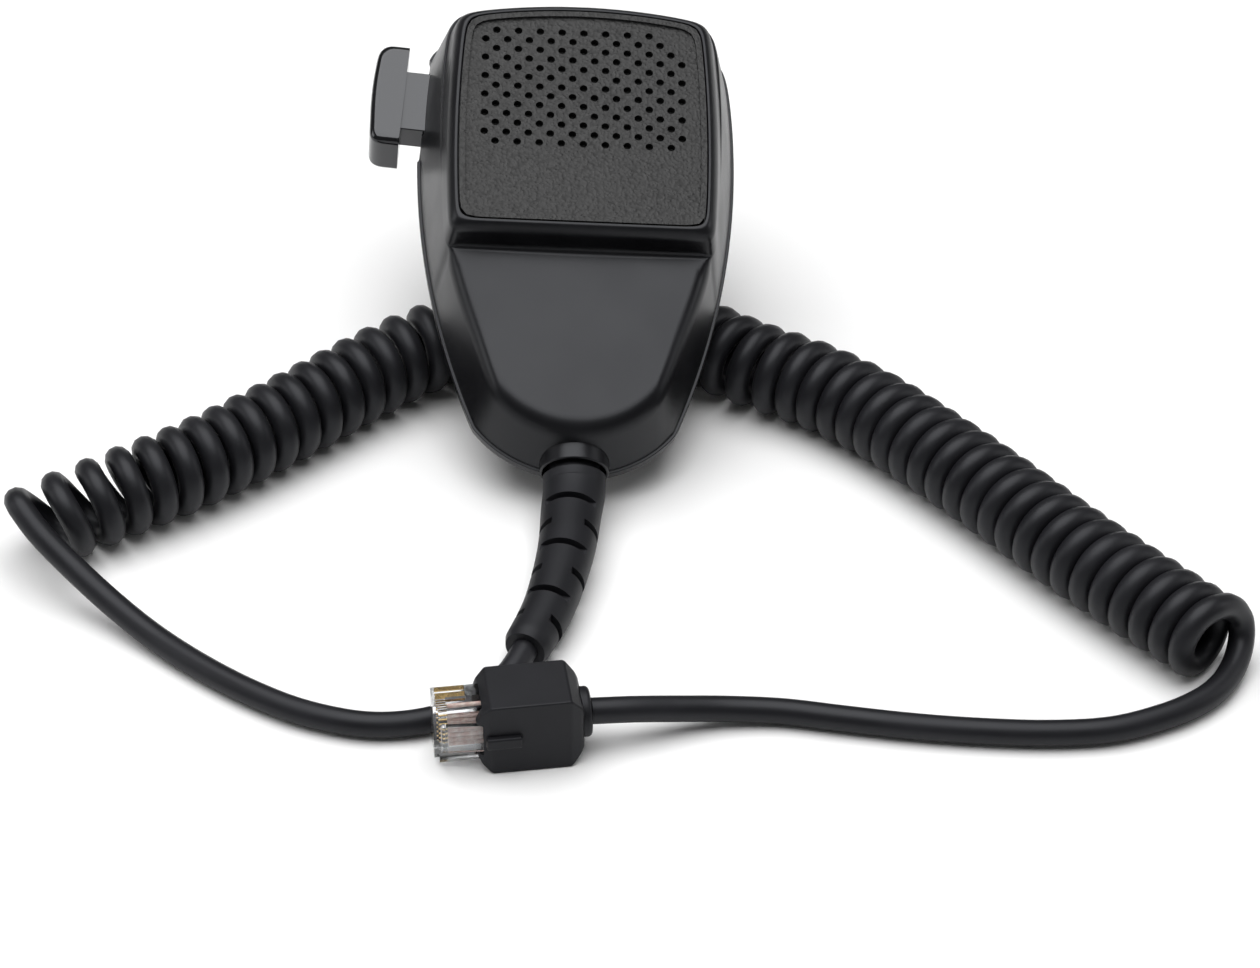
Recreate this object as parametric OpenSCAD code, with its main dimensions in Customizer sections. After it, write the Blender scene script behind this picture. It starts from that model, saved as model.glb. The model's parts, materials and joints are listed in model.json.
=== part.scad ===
// Hand microphone with a side push-to-talk bar, a curly cord and a clear modular plug, in millimetres.
// The microphone lies on its back, propped up on its own curly cord, and the table is z = 0.
// Inside mic_pose() the housing has a frame of its own: x across, y from the cord end to the top and
// z from the back outwards through the grille, starting at the cord end of the back face.

/* [Body] */
// Width of the housing at its widest
body_w = 62; // [52:0.5:75]
// Length of the housing, cord end to top
body_l = 98.5; // [96:0.5:120]
// Height of the joint line between the two shells above the back face
seam_z = 7; // [6.5:0.1:8]
// Height of the front of the grille box above the back face
front_z = 29; // [27:0.5:36]
// Height of the thumb pad where it meets the grille box
pad_high = 22; // [20:0.5:24]
// Height of the thumb pad at the cord end
pad_low = 17; // [16:0.5:20]
// Thickness of the moulded shell walls
wall = 2.2; // [1.6:0.1:2.4]
// How far the rear shell's rim stands out past the front shell
rim_lip = 0.5; // [0.2:0.1:0.8]

/* [Grille] */
// Width of the grille box
box_w = 51.6; // [44:0.2:53]
// Length of the grille box
box_l = 51.6; // [44:0.2:54]
// Pitch of the grille holes along a row
hole_pitch = 4.2; // [3.6:0.1:4.4]
// Diameter of a grille hole
hole_d = 1.5; // [1:0.1:2]
// Number of hole rows
hole_rows = 13; // [7:2:13]
// Number of holes in a long row
hole_cols = 10; // [6:1:10]
// Thickness of the grille panel
panel_t = 1.5; // [1:0.1:2]
// Diameter of the microphone capsule
capsule_d = 9.8; // [6:0.1:12]

/* [Push to talk] */
// Length of the push-to-talk paddle, along the housing
paddle_l = 22.6; // [18:0.2:26]
// Width of the paddle, outwards from its stem
paddle_w = 6.6; // [5:0.2:8]
// Thickness of the paddle, back to front
paddle_t = 10.8; // [8:0.2:11.6]
// Length of the stem, along the housing
stem_l = 13.3; // [11:0.1:15]
// Thickness of the stem, back to front
stem_t = 6.2; // [5:0.1:6.4]
// Inward travel of the push-to-talk button
ptt_travel = 3; // [2:0.1:3.2]
// Distance from the cord end of the housing to the middle of the button
ptt_y = 79.5; // [74:0.5:82]
// Diameter of the return spring
spring_d = 4.6; // [4:0.1:5]

/* [Hang-up stud] */
// Diameter of the stud's neck, which a hang-up clip grips
stud_neck_d = 6.4; // [5:0.1:8]
// Length of the stud's neck
stud_neck_l = 3.4; // [2:0.1:4]
// Diameter of the stud's head
stud_head_d = 11.6; // [10:0.1:13]

/* [Cord] */
// Diameter of the cord
cord_d = 4.8; // [4:0.1:5.2]
// Outside diameter of the curled part
coil_d = 17.2; // [14:0.1:17.4]
// Diameter of the strain relief where it leaves the housing
relief_d = 12.2; // [10:0.1:12.6]
// Diameter of the strain relief at its free end
relief_tip_d = 8.8; // [7.4:0.1:9]

/* [Plug] */
// Width of the modular plug across its contacts
plug_w = 11.7; // [11.5:0.1:11.8]
// Thickness of the modular plug without its latch
plug_t = 6.6; // [6.4:0.1:6.8]
// Length of the rubber boot
boot_l = 19; // [17:0.5:21]
// Width of the boot, across the plug's contacts
boot_w = 15; // [14.6:0.2:16]
// Thickness of the boot
boot_t = 11.8; // [11.8:0.2:13]

/* [Pose] */
// Slope of the housing on the table
mic_tilt = 24; // [20:0.5:26]
// Lean of the housing to its right
mic_roll = 4.5; // [0:0.5:5]

/* [Hidden] */
$fn = 48;
eps = 0.01;
clear = 0.25;

// Where the housing's own frame stands on the table.
mic_at = [4.4, -40.6, 1.9];

// Outline of the two shells.
side_r = 165;
widest_y = 70;
top_r = 110;
foot_r = 24;
foot_drop = 0.7;
foot_top = 12;
shell_power = 16;
ray_n = 120;
back_edge = 9;
back_bend = 4.2;
back_bend_z = 1.6;
rim_h = 2.2;
floor_z = 2;

// Grille box and thumb pad.
box_bow_r = 300;
box_bow_y = 60;
box_top_r = 110;
box_mid_y = 65.8;
box_power = 22;
step_y = box_mid_y - box_l / 2;
box_round = 1.6;
box_round_in = 1.2;
box_rim = 2;
pad_inset = 2.8;
pad_edge = 1.6;
pad_overlap = 4;
short_reach = 8;
pad_proud = 0.05;
box_mid = [0, box_mid_y];
pad_foot_y = -20;

// Grille panel and what lies behind it.
panel_gap = 0.2;
panel_lip = 1.1;
panel_sink = 0.6;
pocket_z = front_z - panel_t - panel_sink;
front_ledge = 1.6;
window_in = 5.5;
grille_y = 72.2;
holder_wall = 2.6;
holder_l = 9;
capsule_l = 6.5;
capsule_back = 1.5;
screen_t = 0.6;
capsule_pin_r = 0.4;

// Screws, mirrored to both sides.
top_screw = [19, body_l - 8.8];
top_post_z = 18;
foot_screw = [12, 19];
boss_r = 2.7;
screw_r = 1.15;
screw_bore_r = 1.2;
screw_pass_r = 1.4;
screw_head_r = 2.3;
screw_head_gap = 0.2;
screw_sink = 2.4;
screw_head_h = 1.8;
screw_l = 11;

// Circuit board.
board_x = [-15, 15];
board_y = [25, 86];
board_z = 10.3;
board_t = 1.6;
board_posts = [[10, 30], [-10, 30], [10, 80]];
board_post_r = 3;
board_screw_r = 0.9;
board_screw_head_r = 2;
board_screw_l = 5;
connector_y = 38;
connector_size = [12, 5, 4.6];

// Push-to-talk button in a frame of its own: x runs into the housing and y along it.
ptt_x = body_w / 2 - side_r + sqrt(pow(side_r, 2) - pow(ptt_y - widest_y, 2));
ptt_lean = 4.5;
stem_out = 3.2;
paddle_bow_r = 32;
pocket_deep = 1;
pocket_gap = 0.9;
guide_in = 7.5;
guide_end = 11.5;
guide_wall = [1.6, 0.7];
flange_gap = 0.1;
flange_end = 14.2;
flange_l = stem_l + 2.4;
plunger_y = -3.2;
plunger_r = 1.2;
plunger_gap = 0.05;
plunger_fit = 0.05;
switch_in = flange_end + ptt_travel + 0.4;
switch_size = [7.2, 6.4];
switch_below = 2.6;
spring_y = 4.4;
spring_wire_r = 0.25;
spring_turns = 6;
spring_end = 22;
seat_size = [1.6, 5.6, 5.4];

// Cord exit.
exit_z = 8;
collar_w = 1.4;
collar_foot = 1.2;
collar_y = [-1.8, 4.2];
neck_r = relief_d / 2 - 1.3;
neck_y = [2.1, 4.4];
flange_y = 7.4;
flange_r = relief_d / 2 - 0.6;
slit_w = 1.3;
slit_keep = 0.62;
fit = 0.05;
jacket_y = 19;
clamp_y = [10, 13.5];
clamp_x = 5.4;
clamp_block_r = 1.9;
clamp_t = 1;
wire_r = 0.5;
wire_n = 5;

// Modular plug in a frame of its own: x runs from the nose to the cord.
plug_at = [-2.5, -112, boot_w / 2];
plug_turn = 8;
nose_out = 7.3;
nose_x = -boot_l / 2 - nose_out;
plug_end_x = 2;
boot_collar_r = 4.5;
boot_collar_in = 1.6;
boot_collar_out = 1.6;
contact_pitch = 1.02;
contact_n = 8;
contact_l = 5.2;
contact_t = 0.35;
core_r = 0.45;
core_y = -0.2;
channel = [1.7, 1.3];
channel_w = contact_n * contact_pitch + 0.6;
guide_bar_x = 9;
guide_bar_l = 3;
latch_root = 1.6;
latch_l = 13.6;
latch_t = 0.8;
latch_w = 6;
latch_lean = 4;
latch_hub_r = 0.55;
bar_size = [6.4, 1.2, 2.4];

// The cord's route, chosen by hand: strain relief, lead, curled part and lead again.
relief_points = [[4.5, -54, 6.5], [3.9, -62, 6.1], [2.5, -71, 5.6], [0.3, -80.5, 5.1],
  [-3.4, -90.5, 4.7]];
mic_lead = [[-3.4, -90.5, 4.7], [-7, -97.5, 3.8], [-13, -103.5, 2.8], [-21, -107.5, 2.6],
  [-31, -108.5, 2.6],
  [-42, -105.5, 2.6], [-52, -100, 2.6], [-62, -92.5, 2.6], [-71, -84, 2.6], [-80, -75, 2.8],
  [-88, -68.8, 4.4], [-95, -65, 7.8], [-99.5, -61.5, 11.6], [-100, -57.5, 13.8], [-97, -54.8, 12.5]];
coil_line = [[-92.5, -59], [-80, -50], [-67.5, -41.5], [-56, -32], [-45, -22], [-36, -13.5], [-27, -6],
  [-16, 0.5], [-4, 4], [8, 4.5], [20, 2], [30.3, -3], [39, -9],
  [51, -16], [62, -25], [73, -37], [84, -50], [95, -64], [106, -77], [118.5, -91]];
plug_lead = [[8.5, -110.5, 7.5], [16, -109, 6.6], [24, -106.8, 4.8], [33, -105, 3.2], [43, -105, 2.6],
  [54, -107, 2.6], [66, -109, 2.6], [78, -110.3, 2.6], [90, -110.8, 2.6], [101, -109.8, 2.6],
  [111, -106.5, 2.6], [119, -101.5, 3.2], [125, -95.5, 5.5], [126.5, -90, 9], [123, -87.5, 12]];
left_end = 6;
right_start = 12;
tube_sides = 10;
coil_sides = 12;

// ---------------------------------------------------------------- frames

module mic_pose() {
  translate(mic_at) rotate([mic_tilt, 0, 0]) rotate([0, mic_roll, 0]) children();
}

function rolled(p) = [p.x * cos(mic_roll) + p.z * sin(mic_roll), p.y,
  p.z * cos(mic_roll) - p.x * sin(mic_roll)];

function tilted(p) = [p.x, p.y * cos(mic_tilt) - p.z * sin(mic_tilt),
  p.y * sin(mic_tilt) + p.z * cos(mic_tilt)];

function mic_point(p) = mic_at + tilted(rolled(p));

module ptt_frame() {
  mic_pose() translate([-ptt_x, ptt_y, seam_z]) rotate([0, 0, -ptt_lean]) children();
}

module plug_frame() {
  translate(plug_at) rotate([0, 0, plug_turn]) children();
}

// A block from its lowest corner to its highest one.
module block(low, high) {
  translate(low) cube(high - low);
}

// A round bar from one point to another.
module rod(from, to, r) {
  way = to - from;
  translate(from) rotate([0, acos(way.z / norm(way)), atan2(way.y, way.x)])
    cylinder(h = norm(way), r = r);
}

module both_sides() {
  children();
  mirror([1, 0, 0]) children();
}

// ---------------------------------------------------------------- swept tubes

function unit(v) = v / norm(v);

function heading(line, i) = unit(line[min(i + 1, len(line) - 1)] - line[max(i - 1, 0)]);

function ring(centre, way, r, sides, ref) =
  let (across = unit(cross(way, ref)), up = cross(across, way))
  [for (k = [0:sides - 1]) let (a = (k + 0.5) * 360 / sides)
    centre + r * (cos(a) * across + sin(a) * up)];

// One closed tube with a ring at each point from first to last; radii has one value a point.
module sweep_tube(line, first, last, radii, sides, ref = [0, 0, 1]) {
  rings = last - first + 1;
  points = [for (i = [first:last]) each ring(line[i], heading(line, i), radii[i], sides, ref)];
  skin = [
    for (i = [0:rings - 2]) for (k = [0:sides - 1])
      let (a = i * sides + k, b = i * sides + (k + 1) % sides) [a, b, b + sides, a + sides]
  ];
  caps = [[for (k = [sides - 1:-1:0]) k], [for (k = [0:sides - 1]) (rings - 1) * sides + k]];
  polyhedron(points = points, faces = concat(skin, caps), convexity = 6);
}

// The radius that gives a flat-sided tube the half-thickness of the round one.
function flat_r(d, sides) = d / 2 / cos(180 / sides);

module cord_tube(line) {
  sweep_tube(line, 0, len(line) - 1, [for (p = line) cord_d / 2], tube_sides);
}

coil_points = [for (p = coil_line) [p.x, p.y, coil_d / 2]];

module coil_tube(first, last) {
  sweep_tube(coil_points, first, last, [for (p = coil_points) flat_r(coil_d, coil_sides)], coil_sides);
}

// ---------------------------------------------------------------- outlines of the housing

// How far a ray runs from inside a circle to its rim.
function to_rim(from, way, centre, r) =
  let (d = centre - from, along = d * way) along + sqrt(max(0, pow(r, 2) - d * d + pow(along, 2)));

// The shortest of several reaches, with the corner between them rounded off.
function soft_min(reaches, power, i = 0, sum = 0) =
  i == len(reaches) ? pow(sum, -1 / power) : soft_min(reaches, power, i + 1,
    sum + pow(reaches[i], -power));

function side_reaches(from, way, bulge, half_w, mid_y, inset) = [
  to_rim(from, way, [half_w - bulge, mid_y], bulge - inset),
  to_rim(from, way, [bulge - half_w, mid_y], bulge - inset)
];

// The shield outline of the shells, as a reach from a point inside it.
function shell_reach(from, way, inset) =
  let (
    sides = side_reaches(from, way, side_r, body_w / 2, widest_y, inset),
    top = to_rim(from, way, [0, body_l - top_r], top_r - inset),
    foot = to_rim(from, way, [0, foot_r - foot_drop], foot_r - inset),
    round_off = soft_min(concat(sides, [top]), shell_power)
  )
  (from + foot * way).y < foot_top + inset / 2 && way.y < 0 ? min(round_off, foot) : round_off;

// The outline of the grille box: bowed sides and top, straight foot.
function box_reach(way, inset) =
  let (
    sides = side_reaches(box_mid, way, box_bow_r, box_w / 2, box_bow_y, inset),
    top = to_rim(box_mid, way, [0, box_mid_y + box_l / 2 - box_top_r], box_top_r - inset),
    foot = way.y < 0 ? (inset - box_l / 2) / way.y : 10 * box_l
  )
  soft_min(concat(sides, [top, foot]), box_power);

function ray(k) = [cos(360 * (k + 0.5) / ray_n), sin(360 * (k + 0.5) / ray_n)];

function raised(p, z) = [p.x, p.y, z];

function shell_ring(inset, z) = [for (k = [0:ray_n - 1])
  raised(box_mid + shell_reach(box_mid, ray(k), inset) * ray(k), z)];

function box_ring(inset, z) = [for (k = [0:ray_n - 1])
  raised(box_mid + box_reach(ray(k), inset) * ray(k), z)];

// Rays that run to the thumb pad carry its outline; the rest stay short, inside the grille box.
function pad_reach(k, inset) =
  let (way = ray(k), edge = box_mid + shell_reach(box_mid, way, 0) * way)
  edge.y < step_y + pad_overlap ? shell_reach(box_mid, way, inset) : short_reach;

// Height of the thumb pad at a place along the housing.
function pad_z(y) = pad_low + y * (pad_high - pad_low) / step_y;

function pad_ring(inset, down) = [
  for (k = [0:ray_n - 1]) let (p = box_mid + pad_reach(k, inset) * ray(k)) raised(p, pad_z(p.y) - down)
];

module box_outline(inset) {
  polygon([for (p = box_ring(inset, 0)) [p.x, p.y]]);
}

// A closed skin over rings that are stacked upwards.
module loft(rings) {
  n = len(rings[0]);
  levels = len(rings);
  skin = [
    for (i = [0:levels - 2]) for (k = [0:n - 1])
      let (a = i * n + k, b = i * n + (k + 1) % n) each [[a, a + n, b + n], [a, b + n, b]]
  ];
  caps = [[for (k = [0:n - 1]) k], [for (k = [n - 1:-1:0]) (levels - 1) * n + k]];
  polyhedron(points = [for (r = rings) each r], faces = concat(skin, caps), convexity = 6);
}

// Everything above the thumb pad, short of the grille box.
module above_pad(down) {
  far = front_z + body_w;
  low = down + pad_proud;
  rotate([90, 0, 90]) linear_extrude(2 * body_w, center = true) polygon([
    [pad_foot_y, pad_z(pad_foot_y) - low], [step_y + down, pad_z(step_y + down) - low],
    [step_y + down, far], [pad_foot_y, far]
  ]);
}

module front_form(inset, base, top, down) {
  difference() {
    loft([
      shell_ring(rim_lip + inset, base),
      box_ring(inset, top - box_round),
      box_ring(inset + box_round_in, top)
    ]);
    above_pad(down);
  }
  loft([
    shell_ring(rim_lip + inset, base),
    pad_ring(pad_inset + inset, down + pad_edge),
    pad_ring(pad_inset + pad_edge + inset, down)
  ]);
}

module rear_form() {
  loft([
    shell_ring(back_edge, 0),
    shell_ring(back_bend, back_bend_z),
    shell_ring(0, seam_z - rim_h),
    shell_ring(0, seam_z)
  ]);
}

module rear_hollow() {
  loft([
    shell_ring(back_edge, floor_z),
    shell_ring(back_bend + wall / 2, back_bend_z + floor_z),
    shell_ring(wall, seam_z - rim_h + wall / 2),
    shell_ring(wall, seam_z + 1)
  ]);
}

// ---------------------------------------------------------------- spaces shared by the shells

// The strain relief's seat through the end wall.
module relief_space() {
  translate([0, 0, exit_z]) rotate([-90, 0, 0]) {
    translate([0, 0, collar_y[0] - clear])
      cylinder(h = neck_y[0] - collar_y[0] + clear, r = relief_d / 2 + fit);
    translate([0, 0, neck_y[0] - eps]) cylinder(h = flange_y - neck_y[0] + clear, r = neck_r + fit);
    translate([0, 0, neck_y[1]]) cylinder(h = flange_y - neck_y[1] + clear, r = flange_r + clear);
  }
}

module relief_collar(extra) {
  translate([0, collar_y[0], exit_z]) rotate([-90, 0, 0])
    cylinder(h = collar_y[1] - collar_y[0], r = relief_d / 2 + collar_w + extra);
}

// The room that the button needs: a scoop for the paddle and a slot for the stem.
module ptt_space() {
  translate([-ptt_x, ptt_y, seam_z]) rotate([0, 0, -ptt_lean]) {
    block([-body_w / 4, -paddle_l / 2 - pocket_gap, -paddle_t / 2 - pocket_gap],
      [pocket_deep, paddle_l / 2 + pocket_gap, paddle_t / 2 + pocket_gap]);
    block([-body_w / 4, -stem_l / 2 - clear, -stem_t / 2 - clear],
      [guide_in, stem_l / 2 + clear, stem_t / 2 + clear]);
  }
}

module screw_places() {
  both_sides() {
    translate(top_screw) children();
    translate(foot_screw) children();
  }
}

// ---------------------------------------------------------------- housing

module front_housing() {
  color([0.09, 0.09, 0.1]) mic_pose() difference() {
    union() {
      difference() {
        front_form(0, seam_z, front_z, 0);
        front_form(wall, seam_z - 1, pocket_z - front_ledge, wall);
      }
      front_post(top_screw, top_post_z);
      front_post(foot_screw, pad_z(foot_screw.y) - wall / 2);
      intersection() {
        relief_collar(0);
        block([-body_w, -body_w, seam_z], [body_w, body_l, front_z]);
      }
    }
    relief_space();
    ptt_space();
    screw_places() translate([0, 0, seam_z - eps])
      cylinder(h = screw_sink + screw_l - seam_z + 1, r = screw_bore_r);
    translate([0, 0, pocket_z]) linear_extrude(front_z) box_outline(box_rim);
    translate([0, 0, pocket_z - 2 * front_ledge]) linear_extrude(front_z) box_outline(window_in);
  }
}

module front_post(place, top) {
  both_sides() translate([place.x, place.y, seam_z]) cylinder(h = top - seam_z, r = boss_r);
}

module rear_housing() {
  color([0.12, 0.12, 0.13]) mic_pose() difference() {
    union() {
      difference() {
        rear_form();
        rear_hollow();
      }
      screw_places() translate([0, 0, floor_z / 2]) cylinder(h = seam_z - floor_z / 2, r = boss_r);
      for (place = board_posts) translate([place.x, place.y, floor_z / 2])
        cylinder(h = board_z - floor_z / 2, r = board_post_r);
      both_sides() translate([clamp_x, (clamp_y[0] + clamp_y[1]) / 2, floor_z / 2])
        cylinder(h = exit_z - floor_z / 2, r = clamp_block_r);
      block([-cord_d / 2, clamp_y[0], floor_z / 2], [cord_d / 2, clamp_y[1], exit_z - cord_d / 2 - fit]);
      translate([-ptt_x, ptt_y, floor_z / 2]) rotate([0, 0, -ptt_lean])
        translate([spring_end, spring_y - seat_size.y / 2, 0])
        cube([seat_size.x, seat_size.y, seam_z + seat_size.z / 2 - floor_z / 2]);
      intersection() {
        relief_collar(collar_foot);
        block([-body_w, -body_w, -1], [body_w, body_l, seam_z]);
      }
    }
    relief_space();
    ptt_space();
    screw_places() {
      translate([0, 0, -eps]) cylinder(h = seam_z + 1, r = screw_pass_r);
      translate([0, 0, -eps]) cylinder(h = screw_sink + eps, r = screw_head_r + screw_head_gap);
    }
    for (place = board_posts) translate([place.x, place.y, board_z - board_screw_l])
      cylinder(h = board_screw_l + 1, r = board_screw_r + fit);
    both_sides() translate([clamp_x, (clamp_y[0] + clamp_y[1]) / 2, exit_z - board_screw_l])
      cylinder(h = board_screw_l + 1, r = board_screw_r + fit);
    translate([0, stud_y(), -eps]) cylinder(h = floor_z + 1, r = stud_neck_d / 4 + fit);
  }
}

function stud_y() = 62;

// A pan-head screw whose head starts at z = 0, shank downwards.
module pan_screw(head_r, head_h, r, length) {
  difference() {
    cylinder(h = head_h, r = head_r);
    translate([0, 0, head_h / 2]) {
      block([-head_r * 0.7, -r * 0.3, 0], [head_r * 0.7, r * 0.3, head_h]);
      block([-r * 0.3, -head_r * 0.7, 0], [r * 0.3, head_r * 0.7, head_h]);
    }
  }
  translate([0, 0, -length]) cylinder(h = length + eps, r = r);
}

module housing_screws() {
  color("dimgray") mic_pose() screw_places() translate([0, 0, screw_sink]) mirror([0, 0, 1])
    pan_screw(screw_head_r, screw_head_h, screw_r, screw_l);
}

module board_screws() {
  color("silver") mic_pose() for (place = board_posts) translate([place.x, place.y, board_z + board_t])
    pan_screw(board_screw_head_r, 1.2, board_screw_r, board_screw_l);
}

module clamp_screws() {
  color("silver") mic_pose() both_sides()
    translate([clamp_x, (clamp_y[0] + clamp_y[1]) / 2, exit_z + clamp_t])
    pan_screw(1.5, 1, board_screw_r, board_screw_l);
}

module hang_up_stud() {
  color("silver") mic_pose() translate([0, stud_y(), 0]) {
    translate([0, 0, -stud_neck_l]) cylinder(h = stud_neck_l, r = stud_neck_d / 2);
    translate([0, 0, -stud_neck_l - 1.8]) cylinder(h = 1.8, r = stud_head_d / 2);
    cylinder(h = floor_z + 1.6, r = stud_neck_d / 4);
  }
}

module stud_washer() {
  color("silver") mic_pose() translate([0, stud_y(), floor_z]) difference() {
    cylinder(h = 1, r = stud_head_d / 2);
    translate([0, 0, -1]) cylinder(h = 3, r = stud_neck_d / 4 + fit);
  }
}

// ---------------------------------------------------------------- grille and capsule

// Staggered rows of round holes; the two uppermost rows stop one hole short on the right.
module grille_holes() {
  for (row = [0:hole_rows - 1]) {
    count = row % 2 == 0 ? hole_cols - 1 : hole_cols;
    drop = row < 2 ? 1 : 0;
    for (k = [0:count - 1 - drop])
      translate([(k - (count - 1) / 2) * hole_pitch,
        grille_y + ((hole_rows - 1) / 2 - row) * hole_pitch / 2, pocket_z - 1])
        cylinder(h = panel_t + 2, r = hole_d / 2, $fn = 16);
  }
}

module grille_panel() {
  color([0.26, 0.26, 0.28]) mic_pose() difference() {
    union() {
      translate([0, 0, pocket_z]) linear_extrude(panel_t) box_outline(box_rim + panel_gap);
      translate([0, 0, pocket_z + panel_t - eps]) linear_extrude(panel_sink + eps) difference() {
        box_outline(box_rim + panel_gap);
        box_outline(box_rim + panel_gap + panel_lip);
      }
    }
    grille_holes();
  }
}

module dust_screen() {
  color([0.05, 0.05, 0.05]) mic_pose() translate([0, 0, pocket_z - screen_t]) linear_extrude(screen_t)
    box_outline(window_in + clear);
}

module capsule_holder() {
  color([0.15, 0.15, 0.15]) mic_pose() translate([0, grille_y, pocket_z - screen_t - holder_l])
    difference() {
    cylinder(h = holder_l, r = capsule_d / 2 + holder_wall);
    translate([0, 0, capsule_back]) cylinder(h = holder_l, r = capsule_d / 2);
    for (side = [-1, 1]) translate([side * capsule_d / 4, 0, -1])
      cylinder(h = 3 + capsule_back, r = capsule_pin_r + fit);
  }
}

module mic_capsule() {
  color("silver") mic_pose() translate([0, grille_y, pocket_z - screen_t - holder_l + capsule_back])
    difference() {
    cylinder(h = capsule_l, r = capsule_d / 2);
    translate([0, 0, capsule_l - 0.4]) cylinder(h = 1, r = capsule_d / 3);
  }
}

module capsule_leads() {
  color("gold") mic_pose() for (side = [-1, 1])
    translate([side * capsule_d / 4, grille_y, board_z + board_t])
    cylinder(h = pocket_z - screen_t - holder_l + capsule_back - board_z - board_t, r = capsule_pin_r);
}

// ---------------------------------------------------------------- board and wiring

module circuit_board() {
  color("darkgreen") mic_pose() difference() {
    block([board_x[0], board_y[0], board_z], [board_x[1], board_y[1], board_z + board_t]);
    for (place = board_posts) translate([place.x, place.y, board_z - 1])
      cylinder(h = board_t + 2, r = board_screw_r + fit);
  }
}

module board_components() {
  color([0.1, 0.1, 0.12]) mic_pose() translate([0, 0, board_z + board_t]) {
    block([-9, 46, 0], [-2, 54, 1.8]);
    block([3, 48, 0], [6, 52, 1.4]);
    translate([10, 58, 0]) cylinder(h = 5, r = 2.5);
    translate([-10, 62, 0]) cylinder(h = 5, r = 2.5);
    for (k = [0:4]) block([-7 + 3 * k, 57, 0], [-5.4 + 3 * k, 58, 0.8]);
  }
}

module cord_connector() {
  color([0.9, 0.88, 0.8]) mic_pose() translate([0, connector_y, board_z + board_t]) difference() {
    block([-connector_size.x / 2, 0, 0], connector_size - [connector_size.x / 2, 0, 0]);
    for (k = [0:wire_n - 1]) translate([(k - (wire_n - 1) / 2) * 2, -1, connector_size.z / 2])
      rotate([-90, 0, 0]) cylinder(h = 4, r = wire_r + fit);
  }
}

module cord_wires() {
  color("firebrick") mic_pose() for (k = [0:wire_n - 1]) {
    i = k - (wire_n - 1) / 2;
    bend = [i * 2, board_y[0] - 1, board_z + board_t + connector_size.z / 2];
    rod([i * 0.7, jacket_y + 3 * fit, exit_z + 0.6 * abs(i) - 0.8], bend, wire_r / 2);
    translate(bend) sphere(r = wire_r * 0.6, $fn = 24);
    rod(bend, [i * 2, connector_y + 2, bend.z], wire_r / 2);
  }
}

// The cord's own end inside the housing, past the moulded strain relief.
module cord_jacket() {
  color([0.1, 0.1, 0.1]) mic_pose() translate([0, flange_y, exit_z]) rotate([-90, 0, 0])
    cylinder(h = jacket_y - flange_y, r = cord_d / 2);
}

module cord_clamp() {
  middle = (clamp_y[0] + clamp_y[1]) / 2;
  color("silver") mic_pose() difference() {
    union() {
      block([-clamp_x - clamp_block_r, clamp_y[0], exit_z],
        [clamp_x + clamp_block_r, clamp_y[1], exit_z + clamp_t]);
      translate([0, clamp_y[0], exit_z]) rotate([-90, 0, 0])
        cylinder(h = clamp_y[1] - clamp_y[0], r = cord_d / 2 + clamp_t);
    }
    translate([0, clamp_y[0] - 1, exit_z]) rotate([-90, 0, 0])
      cylinder(h = clamp_y[1] - clamp_y[0] + 2, r = cord_d / 2 + fit);
    block([-body_w, 0, -body_w], [body_w, body_l, exit_z]);
    both_sides() translate([clamp_x, middle, exit_z - 1])
      cylinder(h = clamp_t + 2, r = board_screw_r + fit);
  }
}

// ---------------------------------------------------------------- push-to-talk

module ptt_button() {
  outer = -stem_out - paddle_w;
  color([0.08, 0.08, 0.09]) ptt_frame() {
    intersection() {
      block([outer, -paddle_l / 2, -paddle_t / 2], [-stem_out, paddle_l / 2, paddle_t / 2]);
      translate([outer + paddle_bow_r, 0, -paddle_t])
        cylinder(h = 2 * paddle_t, r = paddle_bow_r, $fn = 96);
    }
    difference() {
      union() {
        block([-stem_out - eps, -stem_l / 2, -stem_t / 2], [flange_end, stem_l / 2, stem_t / 2]);
        block([guide_end + flange_gap, -flange_l / 2, -stem_t / 2],
          [flange_end, flange_l / 2, stem_t / 2]);
      }
      translate([flange_end - 1, spring_y, 0]) rotate([0, 90, 0])
        cylinder(h = 2, r = spring_d / 2 + clear);
    }
  }
}

module ptt_guide() {
  color([0.2, 0.2, 0.22]) ptt_frame() difference() {
    block([guide_in, -stem_l / 2 - guide_wall.x, -stem_t / 2 - guide_wall.y],
      [guide_end, stem_l / 2 + guide_wall.x, stem_t / 2 + guide_wall.y]);
    block([guide_in - 1, -stem_l / 2 - clear, -stem_t / 2 - clear / 2],
      [guide_end + 1, stem_l / 2 + clear, stem_t / 2 + clear / 2]);
  }
}

module ptt_spring() {
  start = flange_end - 1 + 2 * spring_wire_r;
  run = spring_end - 2 * spring_wire_r - start;
  steps = 12 * spring_turns;
  coil_r = spring_d / 2 - spring_wire_r;
  line = [for (i = [0:steps])
    [start + run * i / steps, spring_y + coil_r * cos(30 * i), coil_r * sin(30 * i)]];
  color("silver") ptt_frame() sweep_tube(line, 0, steps, [for (p = line) spring_wire_r], 6, [1, 0, 0]);
}

module ptt_switch_body() {
  color([0.1, 0.1, 0.1]) ptt_frame() difference() {
    block([switch_in, plunger_y - switch_size.y / 2, -switch_below],
      [switch_in + switch_size.x, plunger_y + switch_size.y / 2, board_z - seam_z]);
    translate([switch_in - 1, plunger_y, 0]) rotate([0, 90, 0])
      cylinder(h = switch_size.x, r = plunger_r + plunger_fit);
  }
}

module ptt_switch_plunger() {
  start = flange_end + plunger_gap;
  color("ivory") ptt_frame() translate([start, plunger_y, 0]) rotate([0, 90, 0])
    cylinder(h = switch_in + 2 - start, r = plunger_r);
}

// ---------------------------------------------------------------- strain relief and cord

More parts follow.
